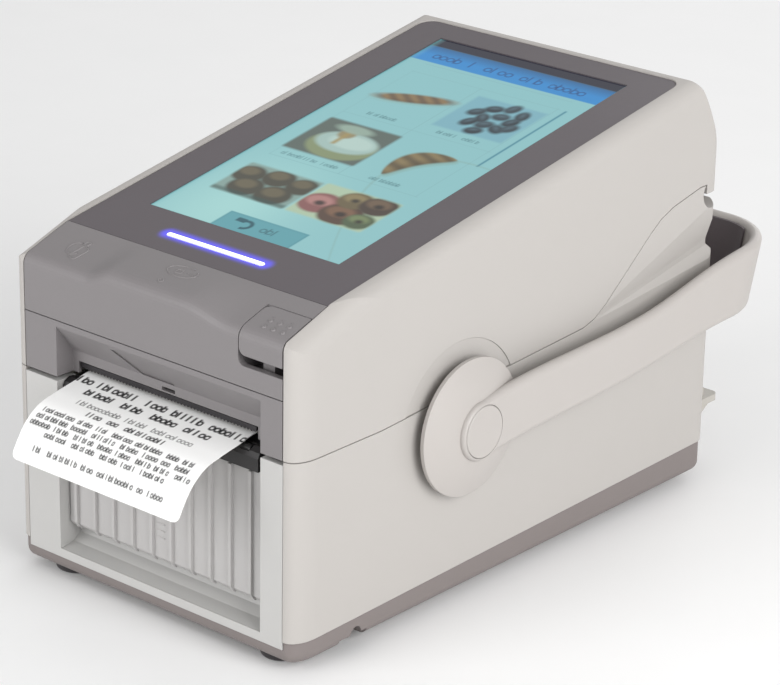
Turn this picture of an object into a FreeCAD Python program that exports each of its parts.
"""Desktop food-label printer with a sloping touch screen and a swing-over carrying handle.

Row frame, millimetres: +Z up, the front (label exit) faces -Y, +X is the right side seen from the
front.  The origin is on the counter plane, at the middle of the whole object's footprint.
Every depth below is measured from the front face towards the back and turned into Y by depth().
"""

import FreeCAD
import Part
import math
import os

from FreeCAD import Rotation, Vector

os.makedirs("parts", exist_ok=True)

# ---------------------------------------------------------------- driving dimensions
HALF_WIDTH = 65.5            # body half width over the side shells
BODY_DEPTH = 224.5           # front face to the back of the display cover
PANEL_HALF = 59.2            # half width of the front panels and of the screen bezel
HANDLE_REACH = 255.2         # front face to the outside of the parked handle
LABEL_REACH = 26.8           # how far the dispensed label stands out of the front face
FRONT = -(HANDLE_REACH - LABEL_REACH) / 2
WALL = 2.4                   # moulded wall thickness
GAP = 0.35                   # shut line between two mouldings

FOOT_HEIGHT = 3.5            # rubber feet below the base tray
BAND_Z = 11.6                # top of the grey base band at the front
BAND_RISE = 0.0186           # its rise per millimetre of depth
FRAME_BOTTOM = 8.8           # lower edge of the white front frame
FRAME_TOP = 73.8             # upper edge of the white front frame
EXIT_BOTTOM = 75.4           # lower edge of the grey exit panel, and of the cover at the front
EXIT_TOP = 95.5              # shut line between exit panel and head cover

TILT = math.radians(10.14)   # slope of the screen
TOP_AT_FRONT = 118.7         # height of the screen plane over the front face
PAD_LINE = 20.7              # depth where the steeper front pads start
PAD_FRONT_Z = 115.0          # height of the pads at the front face
CREST = 208.4                # depth of the back edge of the sloping top
COVER_BACK_Z = 113.0         # lower back edge of the display cover

OPEN_LEFT, OPEN_RIGHT = -44.0, 49.5   # label opening in the front, wider margin on the gear side
PIVOT_DEPTH, PIVOT_Z = 79.8, 65.8     # handle pivot
HINGE_DEPTH, HINGE_Z = 220.0, 112.8   # display cover hinge
HINGE_ROOM = 5.9             # radius kept free about the hinge in the lower body
PLATEN_DEPTH, PLATEN_Z, PLATEN_R = 15.5, 68.9, 6.5
ROLL_DEPTH, ROLL_Z, ROLL_R = 134.0, 60.5, 42.0
CORE_R = 19.0                # bore of the roll core
LABEL_WIDTH = 77.0           # printed label; 80 mm media with its liner
ROLL_HALF = 39.6             # half width of the label roll

HINGE_PIN_R, KNUCKLE_R = 1.4, 2.8
PIVOT_PIN_R = 5.0
BACK_SPLIT = 54.0            # half width of the back cover
COVER_KNUCKLES = ((-44, -34), (34, 44))
BODY_KNUCKLES = ((-53, -44.35), (-33.65, -25), (25, 33.65), (44.35, 53))
NOSE_R = 4.6                 # round front edge of the head cover
BUTTON_LEFT, BUTTON_LOW = 39.7, 106.6
DOOR_PIVOT = (5.9, 22.2)     # depth and height of the liner door hinge
GROOVE_TOP, GROOVE_DEEP, GROOVE_WALL = 113.0, 3.4, 3.2

PARTS = {}


# ---------------------------------------------------------------- shape helpers
def depth(d):
    """Y of a point that lies d behind the front face."""
    return FRONT + d


def top_z(d):
    """Height of the sloping top plane at a depth."""
    return TOP_AT_FRONT + d * math.tan(TILT)


def band_z(d):
    """Height of the shut line between the base band and the side shells."""
    return BAND_Z + BAND_RISE * d


def box(x0, x1, d0, d1, z0, z1):
    return Part.makeBox(x1 - x0, d1 - d0, z1 - z0, Vector(x0, depth(d0), z0))


def rod(x0, x1, d, z, r):
    """Cylinder along X."""
    return Part.makeCylinder(r, x1 - x0, Vector(x0, depth(d), z), Vector(1, 0, 0))


def rod_y(x, d0, d1, z, r):
    """Cylinder along Y."""
    return Part.makeCylinder(r, d1 - d0, Vector(x, depth(d0), z), Vector(0, 1, 0))


def post(x, d, z0, z1, r):
    """Cylinder along Z."""
    return Part.makeCylinder(r, z1 - z0, Vector(x, depth(d), z0))


def ring(x0, x1, d, z, r_out, r_in):
    return rod(x0, x1, d, z, r_out).cut(rod(x0 - 1, x1 + 1, d, z, r_in))


def wire(points):
    return Part.makePolygon(points + [points[0]])


def side_prism(points, x0, x1):
    """A side-view outline, (depth, z) points, carried along X."""
    face = Part.Face(wire([Vector(x0, depth(d), z) for d, z in points]))
    return face.extrude(Vector(x1 - x0, 0, 0))


def front_prism(points, d0, d1):
    """A front-view outline, (x, z) points, carried along Y."""
    face = Part.Face(wire([Vector(x, depth(d0), z) for x, z in points]))
    return face.extrude(Vector(0, d1 - d0, 0))


def plan_prism(points, z0, z1):
    """A plan outline, (x, depth) points, carried along Z."""
    face = Part.Face(wire([Vector(x, depth(d), z0) for x, d in points]))
    return face.extrude(Vector(0, 0, z1 - z0))


def loft(sections):
    """Ruled solid through closed outlines, each a list of vectors."""
    return Part.makeLoft([wire(s) for s in sections], True, True)


def fuse(*shapes):
    whole = shapes[0]
    for other in shapes[1:]:
        whole = whole.fuse(other)
    return whole.removeSplitter()


def compound(*shapes):
    """Separate solids that share one node."""
    return Part.makeCompound(list(shapes))


def both_sides(shape):
    """The shape and its mirror image in the middle plane."""
    return shape, shape.mirror(Vector(0, 0, 0), Vector(1, 0, 0))


def rounded(shape, radius, pick):
    """Fillets the edges that pick(edge) accepts."""
    return shape.makeFillet(radius, [e for e in shape.Edges if pick(e)])


def along(edge, axis):
    """True for a straight edge parallel to a unit vector."""
    if edge.Curve.TypeId != "Part::GeomLine":
        return False
    a, b = edge.Vertexes[0].Point, edge.Vertexes[-1].Point
    return abs((b - a).normalize().dot(axis)) > 0.999


def add(name, shape):
    PARTS[name] = shape


# ---------------------------------------------------------------- housing envelope
def plan_outline(inset, z):
    """Plan of the body: soft front corners, round back corners."""
    w, f, b, r = HALF_WIDTH - inset, inset, BODY_DEPTH - inset, 6.0
    soft_x, soft_y = 6.0, 10.0

    def v(x, d):
        return Vector(x, depth(d), z)

    def corner(side):
        curve = Part.BezierCurve()
        curve.setPoles([v(side * (w - soft_x), f), v(side * (w - 2.0), f),
                        v(side * w, f + 4.5), v(side * w, f + soft_y)])
        return curve.toShape()

    def back(side):
        bend = r * (1 - math.sqrt(0.5))
        return Part.Arc(v(side * w, b - r), v(side * (w - bend), b - bend),
                        v(side * (w - r), b)).toShape()

    edges = [corner(1), Part.makeLine(v(w, f + soft_y), v(w, b - r)), back(1),
             Part.makeLine(v(w - r, b), v(-(w - r), b)), back(-1),
             Part.makeLine(v(-w, b - r), v(-w, f + soft_y)), corner(-1),
             Part.makeLine(v(-(w - soft_x), f), v(w - soft_x, f))]
    return Part.Face(Part.Wire(Part.__sortEdges__(edges)))


def slope_prism(inset, d, z, angle, radius):
    """Front-view outline with round shoulders, carried along a slope through (d, z)."""
    w, low, reach = HALF_WIDTH - inset, -200.0, 700.0
    run = Vector(0, math.cos(angle), math.sin(angle))
    start = Vector(0, depth(d), z - inset / math.cos(angle)) - run * (reach / 2)
    up = Vector(0, -math.sin(angle), math.cos(angle))

    def v(x, h):
        return start + Vector(x, 0, 0) + up * h

    bend = radius * (1 - math.sqrt(0.5))
    edges = [Part.makeLine(v(-w, low), v(w, low)), Part.makeLine(v(w, low), v(w, -radius)),
             Part.Arc(v(w, -radius), v(w - bend, -bend), v(w - radius, 0)).toShape(),
             Part.makeLine(v(w - radius, 0), v(radius - w, 0)),
             Part.Arc(v(radius - w, 0), v(bend - w, -bend), v(-w, -radius)).toShape(),
             Part.makeLine(v(-w, -radius), v(-w, low))]
    return Part.Face(Part.Wire(edges)).extrude(run * reach)


def envelope(inset):
    """The whole housing as one solid, inset from the outside skin."""
    drop = inset / math.cos(TILT)
    w = HALF_WIDTH + 5
    back, nose = BODY_DEPTH - inset, 3.0
    pad_angle = math.atan2(top_z(PAD_LINE) - PAD_FRONT_Z, PAD_LINE)
    crest = (CREST - inset, top_z(CREST - inset) - drop)

    def v(d, z):
        return Vector(-w, depth(d), z)

    front_z = PAD_FRONT_Z - drop
    outline = [
        Part.makeLine(v(inset, 0), v(inset, front_z - nose)),
        Part.Arc(v(inset, front_z - nose), v(inset + 0.55, front_z - 0.75),
                 v(inset + nose, front_z + nose * math.tan(pad_angle))).toShape(),
        Part.makeLine(v(inset + nose, front_z + nose * math.tan(pad_angle)),
                      v(PAD_LINE, top_z(PAD_LINE) - drop)),
        Part.makeLine(v(PAD_LINE, top_z(PAD_LINE) - drop), v(*crest)),
        Part.Arc(v(*crest), v(back - 5.9, COVER_BACK_Z + 25.0), v(back, COVER_BACK_Z)).toShape(),
        Part.makeLine(v(back, COVER_BACK_Z), v(back, 0)),
        Part.makeLine(v(back, 0), v(inset, 0)),
    ]
    side = Part.Face(Part.Wire(outline)).extrude(Vector(2 * w, 0, 0))
    body = side.common(plan_outline(inset, -1).extrude(Vector(0, 0, 200)))
    body = body.common(slope_prism(inset, 0, TOP_AT_FRONT, TILT, 5.0))
    return body.common(slope_prism(inset, PAD_LINE, top_z(PAD_LINE), pad_angle, 8.0))


def seam_outline(offset, far):
    """Everything on the far side (+200 up, -200 down) of the cover's shut line."""
    o = offset
    line = [(-5, EXIT_BOTTOM + o), (40, EXIT_BOTTOM + o), (146, 81.4 + o), (152, 83.0 + o),
            (158, 86.6 + o), (183, 106.4 + o), (189, 110.4 + o), (196, 113.2 + o), (212, 116.6 + o)]
    if far > 0:
        line += [(HINGE_DEPTH - 4, 116.6 + o), (HINGE_DEPTH - 4, COVER_BACK_Z), (230, COVER_BACK_Z)]
    else:
        line += [(HINGE_DEPTH, 116.6 + o), (HINGE_DEPTH, COVER_BACK_Z + o), (230, COVER_BACK_Z + o)]
    return line + [(230, far), (-5, far)]


def make_housing():
    """Side shells, back cover and display cover, all cut from one hollow envelope."""
    skin = envelope(0).cut(envelope(WALL))
    w = HALF_WIDTH + 5
    hinge_room = rod(-w, w, HINGE_DEPTH, HINGE_Z, HINGE_ROOM)

    # upper: everything above the shut line; behind the hinge it ends at one level
    upper = skin.common(side_prism(seam_outline(0.0, 200), -w, w))
    bezel_cut = box(-PANEL_HALF, PANEL_HALF, PAD_LINE - 0.2, 206.6, 100, 200)
    bezel_cut = rounded(bezel_cut, 6.0, lambda e: along(e, Vector(0, 0, 1)) and e.CenterOfMass.y > 0)
    rim_keep = side_prism([(0, 90), (230, 90), (230, top_z(230) - 15), (0, top_z(0) - 15)], -w, w)
    upper = upper.cut(bezel_cut.cut(rim_keep))
    upper = upper.cut(box(-PANEL_HALF - 0.1, PANEL_HALF + 0.1, -2, PAD_LINE + 0.1, 60, 200))
    for side in both_sides(rod(HALF_WIDTH - 0.4, HALF_WIDTH + 4, PIVOT_DEPTH, PIVOT_Z, 29.5)):
        upper = upper.cut(side)
    for side in both_sides(rod(50, 80, PIVOT_DEPTH, PIVOT_Z, 10.5)):
        upper = upper.cut(side)
    for x0, x1 in BODY_KNUCKLES:
        upper = upper.cut(rod(x0 - GAP, x1 + GAP, HINGE_DEPTH, HINGE_Z, KNUCKLE_R + GAP))
    knuckles = [rod(x0, x1, HINGE_DEPTH, HINGE_Z, KNUCKLE_R).fuse(
        box(x0, x1, HINGE_DEPTH - 1, BODY_DEPTH - 1.6, HINGE_Z + 0.6, HINGE_Z + 8))
        for x0, x1 in COVER_KNUCKLES]
    upper = fuse(upper, *knuckles).cut(rod(-60, 60, HINGE_DEPTH, HINGE_Z, HINGE_PIN_R + 0.06))
    add("display_cover_shell", upper)

    # lower: below the shut line and above the base band, with a grip groove round the back
    below = side_prism(seam_outline(-GAP, -1), -w, w)
    liner = envelope(WALL).cut(envelope(WALL + GROOVE_WALL))
    liner = liner.common(box(-w, w, 152, 240, 80, GROOVE_TOP - 1.0))
    lower = fuse(skin, liner).common(below).cut(hinge_room)
    band = side_prism([(-5, band_z(-5)), (230, band_z(230)), (230, -5), (-5, -5)], -w, w)
    lower = lower.cut(band)
    lower = lower.cut(box(-PANEL_HALF - 0.2, PANEL_HALF + 0.2, -2, 30, 0, 130))
    back_d = BODY_DEPTH
    lower = lower.cut(side_prism([(back_d + 0.8, GROOVE_TOP), (back_d - GROOVE_DEEP, 95),
                                  (back_d - GROOVE_DEEP, 92.5), (back_d - 0.1, 88.3),
                                  (back_d + 5, 88.3), (back_d + 5, GROOVE_TOP)], -w, w))
    for sign in (1, -1):
        lower = lower.cut(side_groove(sign))
    pivot_bores = compound(*both_sides(rod(50, 80, PIVOT_DEPTH, PIVOT_Z, PIVOT_PIN_R + 0.06)))
    bosses = both_sides(rod(55.6, HALF_WIDTH - WALL + 0.3, PIVOT_DEPTH, PIVOT_Z, 9.4))
    sides = lower.cut(box(-BACK_SPLIT - GAP, BACK_SPLIT + GAP, 205, 240, 0, 130))
    for name, boss, x0 in (("right", bosses[0], 0), ("left", bosses[1], -80)):
        half = sides.common(box(x0, x0 + 80, -5, 240, 0, 130))
        add(name + "_side_shell", fuse(half, boss).cut(pivot_bores))

    # back cover: socket window, switch window, vents and hinge knuckles
    back = lower.common(box(-BACK_SPLIT, BACK_SPLIT, 200, 240, 0, 130))
    back = back.cut(box(8.0, 52.4, 215, 230, 31, 52))
    back = back.cut(box(-51, -30, 215, 230, 30, 44.5))
    for i in range(7):
        back = back.cut(box(-22, 22, 215, 230, 58 + 3.6 * i, 59.6 + 3.6 * i))
    side = [(-KNUCKLE_R, 0), (0.5, 0), (0.5, -5.3), (2.3, -8), (2.3, -18.8), (-1.9, -18.8)]
    side = [(HINGE_DEPTH + d, HINGE_Z + z) for d, z in side]
    arms = [side_prism(side, x0, x1).fuse(rod(x0, x1, HINGE_DEPTH, HINGE_Z, KNUCKLE_R))
            for x0, x1 in BODY_KNUCKLES]
    back = fuse(back, *arms).cut(rod(-60, 60, HINGE_DEPTH, HINGE_Z, HINGE_PIN_R + 0.05))
    add("back_cover", back)
    add("cover_hinge_pins", compound(rod(-52.5, -25.5, HINGE_DEPTH, HINGE_Z, HINGE_PIN_R),
                                     rod(25.5, 52.5, HINGE_DEPTH, HINGE_Z, HINGE_PIN_R)))


def side_groove(sign):
    """Cutter for the grip groove on one side: nothing at mid depth, full depth at the back."""
    x0 = HALF_WIDTH
    near = [(x0 + 0.05, 84.2), (x0, 83.4), (x0, 82.6), (x0 + 0.05, 82.0), (x0 + 4, 82.0), (x0 + 4, 84.2)]
    rear = [(x0 + 0.4, GROOVE_TOP), (x0 - GROOVE_DEEP, 95), (x0 - GROOVE_DEEP, 92.5), (x0 + 0.1, 88.3),
            (x0 + 5, 88.3), (x0 + 5, GROOVE_TOP)]
    return loft([[Vector(sign * x, depth(152), z) for x, z in near],
                 [Vector(sign * x, depth(227), z) for x, z in rear]])


# ---------------------------------------------------------------- base
def make_base():
    floor_z = FOOT_HEIGHT
    outer = plan_outline(0.4, floor_z).extrude(Vector(0, 0, 16))
    outer = outer.common(side_prism([(-5, floor_z), (230, floor_z), (230, band_z(230) - GAP),
                                     (-5, band_z(-5) - GAP)], -80, 80))
    low_edges = [e for e in outer.Edges if e.BoundBox.ZMax < floor_z + 0.01]
    outer = outer.makeFillet(3.6, low_edges)
    cavity = plan_outline(0.4 + WALL, floor_z + 2.4).extrude(Vector(0, 0, 30))
    tray = outer.cut(cavity)
    tray = tray.cut(box(-PANEL_HALF - 0.3, PANEL_HALF + 0.3, -1, 15.0, FRAME_BOTTOM - 0.2, 30))
    notch = box(52, 80, 21.5, 35, 0, 6.0).fuse(rod(52, 80, 29.5, 6.0, 2.6))
    tray = tray.cut(notch)
    tray = tray.cut(notch.mirror(Vector(0, 0, 0), Vector(1, 0, 0)))
    foot_places = [(x, d) for x in (-48.5, 48.5) for d in (12.0, 204.0)]
    for x, d in foot_places:
        tray = tray.cut(post(x, d, 0, floor_z + 1.0, 7.6))
    screw_places = [(x, d) for x in (-54.0, 54.0) for d in (44.0, 180.0)]
    for x, d in screw_places:
        tray = fuse(tray, post(x, d, floor_z + 1.6, 13.0, 4.4)).cut(post(x, d, 0, 20, 1.75))
        tray = tray.cut(post(x, d, 0, floor_z + 1.8, 3.3))
    for i in range(9):
        tray = tray.cut(box(-18, 18, 90 + 6 * i, 92.4 + 6 * i, 0, floor_z + 5))
    add("base_tray", tray)
    add("rubber_feet", compound(*[rounded(post(x, d, 0, floor_z + 1.0, 7.5), 1.2,
                                          lambda e: e.BoundBox.ZMax < 0.01) for x, d in foot_places]))
    add("base_screws", compound(*[fuse(post(x, d, floor_z - 0.2, floor_z + 1.75, 3.1),
                                       post(x, d, floor_z + 1.7, 13.0, 1.7)).cut(
        box(x - 2, x + 2, d - 0.4, d + 0.4, 0, floor_z + 0.7)) for x, d in screw_places]))


# ---------------------------------------------------------------- front
def make_front():
    """White frame with the finger pocket, ribbed liner door, black peel bar and its roller."""
    frame = box(-PANEL_HALF, PANEL_HALF, 0, 14, FRAME_BOTTOM, FRAME_TOP)
    pocket = [(-1, 12.0), (0.6, 12.0), (6, 13.0), (9.5, 15.2), (11.6, 18.6), (12.4, 24), (15, 24),
              (15, 90), (-1, 90)]
    frame = frame.cut(side_prism(pocket, OPEN_LEFT, OPEN_RIGHT))
    frame = frame.cut(rod(OPEN_LEFT - 2.5, OPEN_RIGHT + 2.5, *DOOR_PIVOT, 1.26))
    frame = frame.cut(box(-PANEL_HALF + WALL, OPEN_LEFT - 2.6, WALL, 20, FRAME_BOTTOM + WALL, 80))
    frame = frame.cut(box(OPEN_RIGHT + 2.6, PANEL_HALF - WALL, WALL, 20, FRAME_BOTTOM + WALL, 80))
    frame = frame.cut(box(-80, 80, 8.7, 30, 24.3, 90))
    add("front_frame", frame)

    d0, low, high = 4.6, 19.6, 66.2
    x0, x1 = OPEN_LEFT + 0.4, OPEN_RIGHT - 0.4
    body = side_prism([(d0, low + 1.4), (d0 + 1.2, low), (d0 + 2.4, low), (d0 + 2.4, high), (d0, high)],
                      x0, x1)
    ribs = [side_prism([(d0 - 1.2, low + 2.4), (d0, low + 0.4), (d0 + 1.2, low - 0.6), (d0 + 1.8, low),
                        (d0 + 1.8, high - 0.6), (d0 - 1.2, high - 0.6)], x - 0.65, x + 0.65)
            for x in [-39.9 + 9.05 * i for i in range(10)]]
    pins = [rod(x0 - 2.6, x0 + 0.2, *DOOR_PIVOT, 1.2), rod(x1 - 0.2, x1 + 2.6, *DOOR_PIVOT, 1.2)]
    add("liner_door", fuse(body, *ribs, *pins))

    bar = side_prism([(2.2, 66.8), (7.4, 66.8), (7.4, 74.0), (5.2, 74.3), (3.0, 73.2), (2.2, 71.4)],
                     OPEN_LEFT + 0.4, 46.4)
    bar = bar.cut(rod(-40, 42, 4.9, 72.6, 2.0)).cut(box(-40, 42, 2.9, 6.9, 72.6, 80))
    bar = bar.cut(rod(-41.5, 43.5, 4.9, 72.6, 0.85))
    add("peel_bar", bar)
    add("peel_roller", fuse(rod(-39.6, 41.6, 4.9, 72.6, 1.6), rod(-41.3, 43.3, 4.9, 72.6, 0.8)))


def nose_profile(lift, inset, radius):
    """(depth, z) points of the head cover from the front face, round the nose, to the bezel line."""
    back = top_z(PAD_LINE) - 0.3 - inset
    nose = PAD_FRONT_Z + lift * (TOP_AT_FRONT - PAD_FRONT_Z) - inset
    slope = math.atan2(back - nose, PAD_LINE)
    reach = radius * math.tan((math.pi / 2 - slope) / 2)
    centre = (inset + radius, nose + inset * math.tan(slope) - reach)
    steps = 6
    points = []
    for i in range(steps + 1):
        turn = math.pi - (math.pi / 2 - slope) * i / steps
        points.append((centre[0] + radius * math.cos(turn), centre[1] + radius * math.sin(turn)))
    return points + [(PAD_LINE - 0.2 - inset, back - (0.2 + inset) * math.tan(slope))]


def head_section(x, lift):
    """Outline of the head cover at one X: lift 0 is the low pad, 1 the raised middle."""
    points = [(0, EXIT_TOP + GAP)] + nose_profile(lift, 0, NOSE_R) + [(PAD_LINE - 0.2, EXIT_TOP + GAP)]
    return [Vector(x, depth(d), z) for d, z in points]


def inner_section(x, lift):
    """The same outline, one wall further in."""
    points = [(WALL, 90)] + nose_profile(lift, WALL, NOSE_R - WALL) + [(PAD_LINE - 0.2 - WALL, 90)]
    return [Vector(x, depth(d), z) for d, z in points]


def make_head_cover():
    """Grey cover over the print head: low pads either side of a raised middle."""
    stations = [(-58.9, 0.0), *crease(-30.5, -19.5, 0.0, 1.0), *crease(14.0, 36.0, 1.0, 0.0), (58.9, 0.0)]
    outer = loft([head_section(x, lift) for x, lift in stations])
    inner = loft([inner_section(x * 0.96, lift) for x, lift in stations])
    well_top = box(BUTTON_LEFT, 60, WALL, 13.8, 100.2, 130)
    mouth = box(BUTTON_LEFT, 60, -1, WALL + 0.1, 103.0, 130)
    mouth = rounded(mouth, 2.6, lambda e: along(e, Vector(0, 1, 0)) and e.CenterOfMass.z < 104
                    and e.CenterOfMass.x < 50)
    well = box(BUTTON_LEFT - 1.4, 58.9, 0.5, 15.2, 98.8, 117.0).common(outer)
    cover = fuse(outer.cut(inner), well).cut(well_top).cut(mouth)
    cover = cover.cut(box(46.6, 52.4, 3.6, 9.4, 90, 101))
    add("head_cover", cover.cut(box(-56.4, 56.4, 17.0, 21, 90, 117.5)))

    cap = outer.common(box(BUTTON_LEFT + GAP, 58.7, -1, 13.4, BUTTON_LOW, 130))
    cap = rounded(cap, 2.8, lambda e: along(e, Vector(0, 0, 1)) and e.CenterOfMass.x < 42
                  and e.CenterOfMass.y > depth(10))
    cap = rounded(cap, 2.6, lambda e: along(e, Vector(0, 1, 0)) and e.CenterOfMass.x < 42
                  and e.CenterOfMass.z < BUTTON_LOW + 0.1)
    cap = cap.cut(box(41.8, 57.1, 1.8, 11.8, 100, 112.6))
    stem = box(47, 52, 4, 9, LATCH_Z + 1.5, 113.0)
    dots = [post(46.6 + 3.9 * i, 5.9 + 3.6 * j, 115.6, top_z(0) - 1.7 + 1.25 * j, 0.6)
            for i in range(3) for j in range(2)]
    add("open_button", fuse(cap, stem, *dots))
    add("button_spring", ring_spring(54.4, 8.4, 100.3, 105.4, 2.0))


def crease(x0, x1, lift0, lift1):
    """Stations of a smooth step between two levels."""
    steps = 8
    shares = [i / steps for i in range(steps + 1)]
    return [(x0 + (x1 - x0) * t, lift0 + (lift1 - lift0) * t * t * (3 - 2 * t)) for t in shares]


def ring_spring(x, d, z0, z1, r):
    """Helical compression spring about a vertical axis, drawn as its turns of round wire."""
    wire_r, turns = 0.3, 5
    pitch = (z1 - z0 - 2 * wire_r) / (turns - 1)
    coils = [Part.makeTorus(r, wire_r, Vector(x, depth(d), z0 + wire_r + pitch * i)) for i in range(turns)]
    risers = [post(x + r * math.cos(a), d + r * math.sin(a), z0 + wire_r, z1 - wire_r, 0.28)
              for a in (0.0, math.pi)]
    return fuse(*coils, *risers)


def make_exit_panel():
    """Grey panel over the label exit with its sloping recess, tear bar and sensor window."""
    panel = box(-58.9, 58.9, 0, 12.5, EXIT_BOTTOM, EXIT_TOP)
    recess = [(-1, 70), (-1, 93.4), (0, 93.4), (7.6, 83.2), (7.6, 70)]
    panel = panel.cut(side_prism(recess, OPEN_LEFT, OPEN_RIGHT))
    shell = [(WALL, 96), (WALL, 93.0), (9.4, 84.0), (9.4, 79.6), (20, 79.6), (20, 96)]
    panel = panel.cut(side_prism(shell, OPEN_LEFT - 2, OPEN_RIGHT + 2))
    panel = panel.cut(box(-56.5, OPEN_LEFT - 2, WALL, 20, 70, 96))
    panel = panel.cut(box(OPEN_RIGHT + 2, 56.5, WALL, 20, 70, 96))
    panel = panel.cut(box(-41.4, 41.4, 7.0, 20, 70, 79.7)).cut(box(-43.5, 43.5, 9.0, 20, 70, 79.7))
    panel = panel.cut(box(-2.0, 4.0, 7.0, 10, 80.3, 81.6))
    wedge = side_prism([(-1, 94.8), (0, 93.4), (7.6, 83.2), (8.3, 83.2), (0.7, 93.4)], -60, 60)
    panel = panel.cut(wedge.common(front_prism([(-20, 91.5), (-9.5, 82), (4, 82), (4, 91.5)], -2, 12)))
    add("exit_panel", panel)
    teeth, pitch, x0 = 54, 1.5, -40.5
    edge = [(x0, 79.4), (x0, 77.9)]
    for i in range(teeth):
        edge += [(x0 + pitch * (i + 0.5), 77.3), (x0 + pitch * (i + 1), 77.9)]
    edge.append((x0 + pitch * teeth, 79.4))
    add("tear_bar", front_prism(edge, 7.7, 8.5))
    add("label_taken_sensor", box(-6, 8, 9.6, 12.2, 79.9, 83.9))


# ---------------------------------------------------------------- screen
def on_slope(shape, d, lift):
    """Places a shape drawn flat, X across and +Y up the slope, on the screen plane at a depth."""
    placed = shape.copy()
    start = Vector(0, depth(d) - math.sin(TILT) * lift, top_z(d) + math.cos(TILT) * lift)
    placed.Placement = FreeCAD.Placement(start, Rotation(Vector(1, 0, 0), math.degrees(TILT)))
    return placed


def slab(x0, x1, y0, y1, z0, z1, radius=0.0):
    """Flat plate in slope coordinates, with round corners if asked."""
    plate = Part.makeBox(x1 - x0, y1 - y0, z1 - z0, Vector(x0, y0, z0))
    return rounded(plate, radius, lambda e: along(e, Vector(0, 0, 1))) if radius else plate


def make_screen():
    """Cover glass, display, light bar, boards and the frame that carries them."""
    run = (206.3 - PAD_LINE) / math.cos(TILT)
    aperture = (23.0, 23.0 + 154.6)
    glass = rounded(slab(-58.9, 58.9, 0, run, -1.5, -0.4), 5.7,
                    lambda e: along(e, Vector(0, 0, 1)) and e.CenterOfMass.y > 50)
    light_slot = slab(-22.0, 22.0, 9.0, 11.4, -3.0, 1.0, 1.15)
    screen_window = slab(-43.2, 43.2, aperture[0], aperture[1], -2.0, 1.0)
    add("screen_bezel", on_slope(glass.cut(light_slot).cut(screen_window), PAD_LINE, 0))
    add("touch_glass", on_slope(slab(-43.1, 43.1, aperture[0] + 0.1, aperture[1] - 0.1, -1.5, -0.45),
                                PAD_LINE, 0))
    add("status_light_bar", on_slope(slab(-21.9, 21.9, 9.1, 11.3, -4.6, -0.3, 1.05), PAD_LINE, 0))
    add("display_panel", on_slope(slab(-48, 48, 19, 183, -6.2, -1.6), PAD_LINE, 0))
    carrier = slab(-60.5, 60.5, 0.5, run - 1.5, -10.0, -1.6)
    carrier = carrier.cut(slab(-48.3, 48.3, 18.7, 183.3, -6.5, 0))
    carrier = carrier.cut(slab(-40, 40, 26, 176, -12, 0)).cut(slab(-25, 25, -1, 14.5, -12, 0))
    add("display_carrier", on_slope(carrier, PAD_LINE, 0).common(envelope(WALL + 0.3)))
    add("display_board", on_slope(slab(-34, 34, 60, 160, -8.4, -6.8), PAD_LINE, 0))
    add("front_board", on_slope(slab(-24, 24, -13, 13.4, -7.4, -6.0), PAD_LINE, 0))
    screws = [slab(x - 2.0, x + 2.0, y - 2.0, y + 2.0, -11.6, -10.05, 1.9)
              for x in (-52, 52) for y in (12, 96, 178)]
    add("display_screws", compound(*[on_slope(s, PAD_LINE, 0) for s in screws]))


# ---------------------------------------------------------------- print mechanism
def gear(x0, x1, d, z, teeth, module, bore, turn):
    """Spur gear about X with involute flanks; turn is the angle of one tooth's centre, in degrees."""
    pitch_r, base_r = module * teeth / 2, module * teeth / 2 * math.cos(math.radians(20))
    root_r, tip_r = pitch_r - 1.15 * module, pitch_r + 0.9 * module
    half = math.pi / (2 * teeth) - 0.11 * module / pitch_r

    def involute(r):
        a = math.acos(min(1.0, base_r / r))
        return math.tan(a) - a

    flank = [max(root_r, base_r) + (tip_r - max(root_r, base_r)) * k / 3 for k in range(4)]
    points = []
    for i in range(teeth):
        mid = math.radians(turn) + 2 * math.pi * i / teeth
        rise = [(r, mid - half - involute(pitch_r) + involute(r)) for r in flank]
        fall = [(r, 2 * mid - a) for r, a in reversed(rise)]
        points += [(root_r, rise[0][1])] + rise + fall + [(root_r, fall[-1][1])]
    outline = [Vector(x0, depth(d) + r * math.cos(a), z + r * math.sin(a)) for r, a in points]
    body = Part.Face(wire(outline)).extrude(Vector(x1 - x0, 0, 0))
    return body.cut(rod(x0 - 1, x1 + 1, d, z, bore))


BUSH_R, STUD_R, CHASSIS_Z = 4.6, 2.0, 13.0
LATCH_DEPTH, LATCH_Z, LATCH_R = 30.0, 96.8, 1.5
LATCH_PIN, LATCH_PIN_R = (27.0, 73.4), 1.6   # depth and height of the pins that the hooks reach for
PLATEN_TEETH, IDLER_TEETH, PINION_TEETH, MODULE = 20, 28, 14, 0.9
IDLER_ANGLE, PINION_ANGLE = math.radians(-48), math.radians(-30)


def gear_centres():
    """Idler and motor pinion axes, from the platen axis and the meshing distances."""
    a = MODULE * (PLATEN_TEETH + IDLER_TEETH) / 2 + 0.05
    b = MODULE * (IDLER_TEETH + PINION_TEETH) / 2 + 0.05
    idler = (PLATEN_DEPTH + a * math.cos(IDLER_ANGLE), PLATEN_Z + a * math.sin(IDLER_ANGLE))
    pinion = (idler[0] + b * math.cos(PINION_ANGLE), idler[1] + b * math.sin(PINION_ANGLE))
    return idler, pinion


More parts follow.
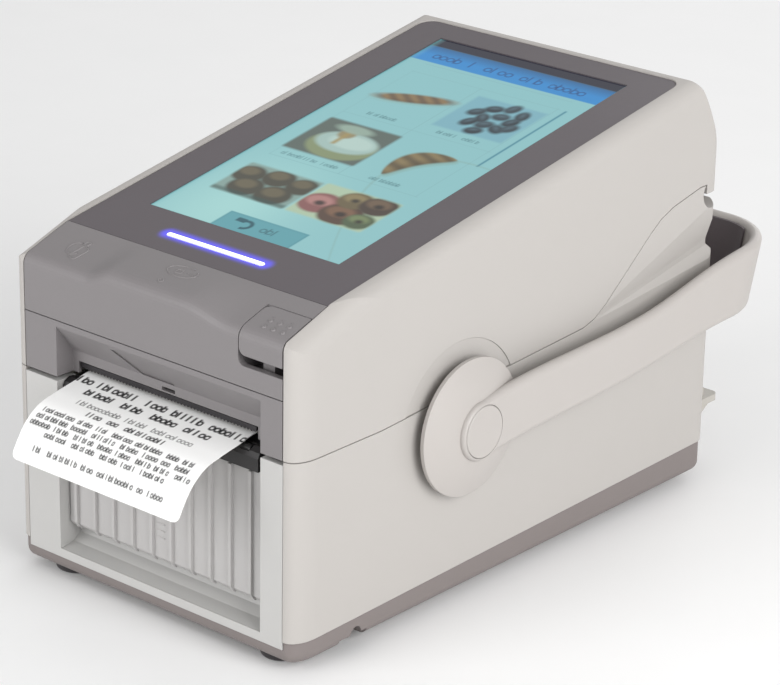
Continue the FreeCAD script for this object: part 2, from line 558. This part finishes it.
def make_print_mechanism():
    """Platen, its drive, the side plates that carry them and the print head in the cover."""
    (idler_d, idler_z), (pinion_d, pinion_z) = gear_centres()
    print("idler axis", round(depth(idler_d), 3), round(idler_z, 3),
          "pinion axis", round(depth(pinion_d), 3), round(pinion_z, 3))
    add("platen_roller", ring(-41.5, 41.5, PLATEN_DEPTH, PLATEN_Z, PLATEN_R, 3.0))
    add("platen_shaft", rod(-57.0, 54.2, PLATEN_DEPTH, PLATEN_Z, 3.0))
    low = CHASSIS_Z
    outline = [(15.5, low), (66, low), (66, 60), (52, 72.5), (32, 72.5), (31, 76.4), (24, 76.4), (23, 74.2),
               (9.3, 74.2), (9.3, 26), (15.5, 25)]
    walls = []
    for x in (-50.6, 51.6):
        plate = side_prism(outline, x - 0.8, x + 0.8)
        plate = plate.cut(rod(x - 2, x + 2, PLATEN_DEPTH, PLATEN_Z, BUSH_R))
        plate = plate.cut(box(x - 2, x + 2, PLATEN_DEPTH - BUSH_R, PLATEN_DEPTH + BUSH_R, PLATEN_Z, 80))
        walls.append(plate)
    walls[0] = walls[0].cut(rod(-53, -49, pinion_d, pinion_z, 5.5))
    cross = box(-50, 51, 64.4, 66, low, 56).cut(box(-30, 30, 64, 67, 24, 44))
    idler_stud = rod(-57.0, -50.2, idler_d, idler_z, STUD_R)
    latch_pins = [rod(x0, x1, *LATCH_PIN, LATCH_PIN_R) for x0, x1 in ((-57.2, -51.0), (52.0, 57.2))]
    feet = [box(-50, -42, 15.5, 60, low, low + 1.6), box(43, 51, 15.5, 60, low, low + 1.6)]
    add("mechanism_chassis", fuse(*walls, cross, idler_stud, *latch_pins, *feet))
    add("platen_bushes", compound(ring(-51.4, -48.6, PLATEN_DEPTH, PLATEN_Z, BUSH_R - 0.05, 3.06),
                                  ring(49.6, 52.4, PLATEN_DEPTH, PLATEN_Z, BUSH_R - 0.05, 3.06)))
    mesh = math.degrees(IDLER_ANGLE)
    add("platen_gear", gear(-56.4, -52.6, PLATEN_DEPTH, PLATEN_Z, PLATEN_TEETH, MODULE, 3.02, mesh))
    idler_turn = mesh + 180 + 180 / IDLER_TEETH
    add("idler_gear", gear(-56.2, -52.8, idler_d, idler_z, IDLER_TEETH, MODULE, STUD_R + 0.06, idler_turn))
    steps = (math.degrees(PINION_ANGLE) - idler_turn) / (360 / IDLER_TEETH)
    offset = (steps - math.floor(steps)) * 360 / IDLER_TEETH
    pinion_turn = math.degrees(PINION_ANGLE) + 180 + 180 / PINION_TEETH
    pinion_turn += offset * IDLER_TEETH / PINION_TEETH
    pinion = gear(-56.4, -52.6, pinion_d, pinion_z, PINION_TEETH, MODULE, 1.5, pinion_turn)
    add("motor_pinion", fuse(pinion, rod(-57.0, -48.8, pinion_d, pinion_z, 2.0)))
    motor = rounded(box(-49.6, -20, pinion_d - 17, pinion_d + 17, pinion_z - 17, pinion_z + 17), 3.0,
                    lambda e: along(e, Vector(1, 0, 0)))
    add("feed_motor", motor.cut(rod(-50, -44, pinion_d, pinion_z, 2.3)))

    head_z = PLATEN_Z + PLATEN_R + 0.95
    add("print_head", fuse(box(-43, 43, 10.0, 34, head_z + 1.0, head_z + 2.2),
                           box(-42, 42, 13.6, 18, head_z, head_z + 1.2)))
    sink = box(-43, 43, 13.2, 34, head_z + 2.3, head_z + 6.3)
    for x in range(-38, 39, 8):
        sink = sink.cut(box(x - 2, x + 2, 14.5, 32.5, head_z + 4.1, head_z + 8))
    add("head_heat_sink", sink)
    lugs = [box(x, x + 2, LATCH_DEPTH - 4, LATCH_DEPTH + 4, 94, LATCH_Z + 4.5) for x in (-48, 38)]
    bracket = fuse(box(-48, 46, 13.0, 36, 93.0, 94.6), box(-48, -46.4, 13.0, 36, 80, 93.5),
                   box(44.4, 46, 13.0, 36, 80, 93.5), box(-48, 46, 35.2, 36.8, 80, 94.6), *lugs)
    add("head_bracket", bracket.cut(rod(-60, 60, LATCH_DEPTH, LATCH_Z, LATCH_R + 0.06)))
    springs = [post(x, 24, head_z + 6.4, 92.9, 3.6).cut(post(x, 24, 70, 100, 2.8)) for x in (-26, 26)]
    add("head_springs", compound(*springs))


# ---------------------------------------------------------------- cover latch
def make_latch():
    """Shaft with two hooks in the cover.  The toes stop just short of the pins on the chassis."""
    shaft = rod(-57.6, 57.6, LATCH_DEPTH, LATCH_Z, LATCH_R)
    pin_d, pin_z = LATCH_PIN
    toe = pin_d + LATCH_PIN_R + 0.4
    eye = LATCH_Z + 2.8
    hooks = []
    for x0, x1 in ((-56.6, -53.8), (53.6, 56.6)):
        front = [(LATCH_DEPTH - 3, eye), (LATCH_DEPTH - 3, LATCH_Z - 2), (toe + 1.2, pin_z + 3)]
        point = [(toe, pin_z - 2.4), (toe - 0.1, pin_z - 4.6), (toe + 1.6, pin_z - 5.6)]
        back = [(toe + 5, pin_z - 3), (LATCH_DEPTH + 4, LATCH_Z - 2), (LATCH_DEPTH + 4, eye)]
        hooks.append(side_prism(front + point + back, x0, x1))
    tail = box(47.6, 51.4, 5.0, LATCH_DEPTH, LATCH_Z - 0.2, LATCH_Z + 1.2)
    tail = fuse(tail, box(47.6, 51.4, LATCH_DEPTH - 2.6, LATCH_DEPTH + 2.6, LATCH_Z - 2.6, LATCH_Z + 2.2))
    add("latch_shaft", fuse(shaft, *hooks, tail))


# ---------------------------------------------------------------- label supply
GUIDE_TEETH, GUIDE_MODULE = 16, 1.0


def make_supply():
    """Label roll on two sliding guides joined by racks and a pinion."""
    add("label_roll", ring(-ROLL_HALF, ROLL_HALF, ROLL_DEPTH, ROLL_Z, ROLL_R, CORE_R + 1.3))
    add("roll_core", ring(-ROLL_HALF, ROLL_HALF, ROLL_DEPTH, ROLL_Z, CORE_R + 1.3, CORE_R))
    pitch_r = GUIDE_TEETH * GUIDE_MODULE / 2
    pinion = gear(0, 3.0, 0, 0, GUIDE_TEETH, GUIDE_MODULE, 2.06, 0)
    pinion.translate(Vector(0, -depth(0), 0))
    pinion.rotate(Vector(0, 0, 0), Vector(0, 1, 0), -90)
    pinion.translate(Vector(0, depth(ROLL_DEPTH), 11.2))
    add("guide_pinion", pinion)
    floor = 7.6
    add("media_floor", fuse(box(-48, 48, 72, 196, 5.9, floor), post(0, ROLL_DEPTH, 7.5, 14.4, 2.0)))
    pitch = math.pi * GUIDE_MODULE
    for name, sign in (("left", -1), ("right", 1)):
        near, far = sign * (ROLL_HALF + 0.6), sign * (ROLL_HALF + 3.6)
        lo, hi = min(near, far), max(near, far)
        plate = side_prism([(96, 16), (172, 16), (172, 60), (150, 96), (118, 96), (96, 60)], lo, hi)
        hub_in = sign * (ROLL_HALF - 9)
        hub = rod(min(hub_in, near), max(hub_in, near), ROLL_DEPTH, ROLL_Z, CORE_R - 0.07)
        # rack on this guide's own side of the pinion, teeth towards it
        side = -sign
        face = ROLL_DEPTH + side * (pitch_r + 0.05)
        back = ROLL_DEPTH + side * (pitch_r + 7.0)
        outline = []
        start, end = sign * -14.0, sign * (ROLL_HALF + 3.0)
        count = 9
        for i in range(count):
            centre = (i - (count - 1) / 2 + 0.5) * pitch
            for dx, out in ((-0.98, 1.15), (-0.38, -0.85), (0.38, -0.85), (0.98, 1.15)):
                outline.append((centre + dx, face + side * out))
        root = face + side * 1.15
        low_x, high_x = sorted((start, end))
        outline = [p for p in outline if low_x < p[0] < high_x]
        outline = [(low_x, root), *outline, (high_x, root), (high_x, back), (low_x, back)]
        rack = plan_prism(outline, 11.4, 14.0)
        foot = box(lo, hi, min(back, face + side * 1.3), max(back, face + side * 1.3), 11.4, 17)
        guide = fuse(plate, hub, rack, foot)
        add("media_guide_" + name, guide)
    add("media_sensor", fuse(box(-12, 12, 66.5, 71.5, 60, 63), box(-5, 5, 66.5, 71.5, 63, 66)))


# ---------------------------------------------------------------- electronics at the back
def make_electronics():
    """Main board with its sockets, the power switch and the cable shelf."""
    add("main_board", box(-50, 53, 190.0, 191.6, 12, 76))
    socket_back = 223.4
    lan = box(33.5, 50.0, 205, socket_back, 33.4, 47.6)
    lan = lan.cut(box(35.5, 48.0, 211, 230, 37.0, 45.6)).cut(box(38.2, 45.3, 211, 230, 34.6, 38))
    add("network_socket", fuse(lan, box(33.5, 50.0, 191.6, 205.1, 33.4, 40)))
    usb = box(24.4, 31.6, 205, socket_back, 33.4, 47.6)
    usb = usb.cut(box(25.3, 30.7, 210, 230, 34.2, 46.8))
    tongue = box(26.0, 27.9, 209.5, 221, 34.9, 46.1)
    add("usb_socket", fuse(usb, tongue, box(24.4, 31.6, 191.6, 205.1, 33.4, 40)))
    jack = box(10.4, 22.0, 205, socket_back, 33.4, 46.0).cut(rod_y(16.2, 211, 230, 39.8, 3.25))
    jack = fuse(jack, rod_y(16.2, 210, 221.5, 39.8, 1.05), box(10.4, 22.0, 191.6, 205.1, 33.4, 40))
    add("power_socket", jack)
    plate = box(8.4, 52.0, 221.4, 222.4, 31.4, 51.6)
    for shape in (lan, usb, jack):
        b = shape.BoundBox
        plate = plate.cut(Part.makeBox(b.XLength + 0.5, 20, b.ZLength + 0.5,
                                       Vector(b.XMin - 0.25, depth(215), b.ZMin - 0.25)))
    add("socket_plate", plate)
    switch = box(-50.6, -30.4, 208, 226.0, 30.4, 44.1)
    flange = box(-52.0, -29.0, BODY_DEPTH, 226.2, 29.0, 45.5)
    switch = fuse(switch, flange).cut(box(-48.6, -32.4, 216, 230, 32.0, 42.5))
    switch = switch.cut(rod(-50.2, -30.8, 223.0, 37.25, 1.05))
    add("switch_body", switch)
    rocker = side_prism([(219.5, 33.6), (225.2, 32.8), (226.6, 37.25), (228.6, 41.4), (219.5, 40.9)],
                        -48.1, -32.9)
    add("switch_rocker", fuse(rocker, rod(-49.9, -31.1, 223.0, 37.25, 1.0)))
    shelf = box(16, 60.0, BODY_DEPTH, 238.6, 25.4, 28.0)
    shelf = rounded(shelf, 2.5, lambda e: along(e, Vector(0, 0, 1)) and e.CenterOfMass.y > depth(230))
    lugs = [box(x, x + 3, 226, 232, 27.9, 31.4) for x in (21, 55)]
    gussets = [side_prism([(BODY_DEPTH, 18.5), (235, 25.5), (BODY_DEPTH, 25.5)], x, x + 2)
               for x in (18, 38, 57)]
    add("cable_shelf", fuse(shelf, *lugs, *gussets))


# ---------------------------------------------------------------- carrying handle
ARM_IN, ARM_OUT = 71.8, 76.4          # inner and outer faces of the arms
DISC_R, DISC_X, DOME = 24.2, 69.0, 5.0
RIM_X = 70.4                          # where the disc's rim ends and its dome starts
HUB_R, CAP_R, COLLAR_X = 10.5, 9.2, 66.2
EDGE_OUT, EDGE_IN, HUB_EDGE = 2.2, 1.0, 1.6   # rounding of the handle's long edges and of its hubs
BAR_TOP, BAR_LOW = 94.0, 50.0         # heights between which the handle's outside leans
BAR_LEAN = 6.5                        # how much further back the top of the bar stands
BAR_THICK = 4.6              # bar thickness, lining not counted
PAD, PAD_END = 1.0, 62.0      # thickness and half length of the soft lining inside the bar

# depth and height along the lower and the upper edge of the arms, seen from the side
ARM_UNDER = [(80, 55.3), (100, 57.6), (125, 58.9), (150, 60.0),
             (180, 62.8), (205, 65.6), (232, 66.8), (264, 67.0)]
ARM_OVER = [(80, 76.3), (100, 78.6), (125, 79.7), (150, 80.4),
            (180, 83.2), (205, 88.2), (232, 91.8), (264, 92.8)]


def arm_band(trim):
    """Side outline of the handle carried right across, trimmed above and below."""
    under, over = Part.BSplineCurve(), Part.BSplineCurve()
    under.interpolate([Vector(-90, depth(d), z + trim) for d, z in ARM_UNDER])
    over.interpolate([Vector(-90, depth(d), z - trim) for d, z in ARM_OVER])
    edges = [under.toShape(), over.toShape()]
    ends = [Part.makeLine(edges[0].Vertexes[i].Point, edges[1].Vertexes[i].Point) for i in (0, 1)]
    face = Part.Face(Part.Wire(Part.__sortEdges__(edges + ends)))
    return face.extrude(Vector(180, 0, 0))


def handle_plan(half, reach, radius, z):
    """Plan of the handle at one height, open at the front, with round back corners."""
    start = 40.0

    def v(x, d):
        return Vector(x, depth(d), z)

    bend = radius * (1 - math.sqrt(0.5))

    def corner(side):
        return Part.Arc(v(side * half, reach - radius), v(side * (half - bend), reach - bend),
                        v(side * (half - radius), reach)).toShape()

    edges = [Part.makeLine(v(half, start), v(half, reach - radius)), corner(1),
             Part.makeLine(v(half - radius, reach), v(radius - half, reach)), corner(-1),
             Part.makeLine(v(-half, reach - radius), v(-half, start)),
             Part.makeLine(v(-half, start), v(half, start))]
    return Part.Wire(Part.__sortEdges__(edges))


def handle_block(inset, back_inset):
    """Leaning block inside which the handle lies; the insets give its inner surfaces."""
    half = ARM_OUT - inset
    low = handle_plan(half, HANDLE_REACH - BAR_LEAN - back_inset, 34.0 - inset, BAR_LOW)
    high = handle_plan(half, HANDLE_REACH - back_inset, 25.0 - inset, BAR_TOP)
    return Part.makeLoft([low, high], True, True)


def middle(edge):
    return edge.valueAt((edge.FirstParameter + edge.LastParameter) / 2)


def round_long_edges(loop):
    """Rounds the edges that run along the handle: well outside, a little inside."""
    runs = [e for e in loop.Edges if e.BoundBox.XLength + e.BoundBox.YLength > 20]
    rear = depth(HANDLE_REACH - BAR_LEAN + 0.8)
    outside, inside = [], []
    for edge in runs:
        b = edge.BoundBox
        far = max(-b.XMin, b.XMax) > ARM_IN + 0.1 or b.YMax > rear
        (outside if far else inside).append(middle(edge))
    for radius, places in ((EDGE_OUT, outside), (EDGE_IN, inside)):
        loop = rounded(loop, radius, lambda e: any((middle(e) - p).Length < 0.01 for p in places))
    return loop


def make_handle():
    """Swing-over handle: two domed discs, two arms and a cross bar with a grip pad inside."""
    inner = handle_block(ARM_OUT - ARM_IN, BAR_THICK)
    loop = handle_block(0, 0).cut(inner).common(arm_band(0))
    loop = round_long_edges(loop.cut(box(-90, 90, 30, PIVOT_DEPTH, 40, 110)))
    pad = inner.cut(handle_block(ARM_OUT - ARM_IN + PAD, BAR_THICK + PAD))
    pad = pad.common(arm_band(1.4)).common(box(-PAD_END, PAD_END, 212, 280, 40, 110))
    whole = loop
    curve_r = (DISC_R ** 2 + DOME ** 2) / (2 * DOME)
    discs = []
    for sign in (1, -1):
        ball = Part.makeSphere(curve_r, Vector(RIM_X + DOME - curve_r, depth(PIVOT_DEPTH), PIVOT_Z))
        disc = rod(DISC_X, RIM_X + DOME + 1, PIVOT_DEPTH, PIVOT_Z, DISC_R).common(ball)
        hub = rod(COLLAR_X, ARM_OUT, PIVOT_DEPTH, PIVOT_Z, HUB_R)
        hub = rounded(hub, HUB_EDGE, lambda e: e.BoundBox.XMin > ARM_OUT - 0.01)
        one = fuse(disc, hub)
        discs.append(one if sign > 0 else one.mirror(Vector(0, 0, 0), Vector(1, 0, 0)))
    whole = fuse(whole, *discs)
    for side in both_sides(rod(66, 74.5, PIVOT_DEPTH, PIVOT_Z, PIVOT_PIN_R + 0.06)):
        whole = whole.cut(side)
    for side in both_sides(rod(72.9, 80, PIVOT_DEPTH, PIVOT_Z, CAP_R + 0.15)):
        whole = whole.cut(side)
    add("carry_handle", whole)
    add("handle_grip_pad", pad)
    cap = rounded(rod(74.9, 76.6, PIVOT_DEPTH, PIVOT_Z, CAP_R), 0.5, lambda e: e.BoundBox.XMin > 76.5)
    cap = fuse(cap, ring(73.1, 75.0, PIVOT_DEPTH, PIVOT_Z, CAP_R, CAP_R - 1.3))
    add("pivot_caps", compound(*both_sides(cap)))
    pin = fuse(rod(56.0, 73.2, PIVOT_DEPTH, PIVOT_Z, PIVOT_PIN_R),
               rod(73.2, 74.4, PIVOT_DEPTH, PIVOT_Z, 7.0))
    add("handle_pivots", compound(*both_sides(pin)))


# ---------------------------------------------------------------- dispensed label
def make_label():
    """The label strip: off the roll, over the platen, and curling down as it leaves the exit."""
    path = [(108.3, 94.9), (90.0, 80.9), (72.0, 70.0), (44.0, 73.6), (PLATEN_DEPTH, 75.93), (8.2, 75.9),
            (3.0, 74.7), (-6.6, 72.9), (-14.0, 70.8), (-19.6, 66.6), (-23.8, 60.8),
            (-LABEL_REACH + 0.25, 55.9)]
    paper = 0.25
    curve = Part.BSplineCurve()
    curve.interpolate([Vector(-LABEL_WIDTH / 2, depth(d), z) for d, z in path])
    count = 48
    first, last = curve.FirstParameter, curve.LastParameter
    upper, lower = [], []
    for i in range(count + 1):
        t = first + (last - first) * i / count
        p, tangent = curve.value(t), curve.tangent(t)[0]
        normal = Vector(0, -tangent.z, tangent.y)
        if normal.z < 0:
            normal = -normal
        upper.append(p + normal * paper / 2)
        lower.append(p - normal * paper / 2)
    face = Part.Face(wire(upper + lower[::-1]))
    sheet = face.extrude(Vector(LABEL_WIDTH, 0, 0))
    add("printed_label", sheet)


make_housing()
make_base()
make_front()
make_head_cover()
make_exit_panel()
make_screen()
make_print_mechanism()
make_latch()
make_supply()
make_electronics()
make_handle()
make_label()

for name, shape in sorted(PARTS.items()):
    solids = shape.Solids
    if not shape.isValid() or not solids:
        print("CHECK", name, "valid", shape.isValid(), "solids", len(solids))
    whole = solids[0] if len(solids) == 1 else Part.makeCompound(solids)
    whole.exportStep("parts/" + name + ".step")
    print(name, len(solids), round(sum(s.Volume for s in solids) / 1000, 2), "cm3")
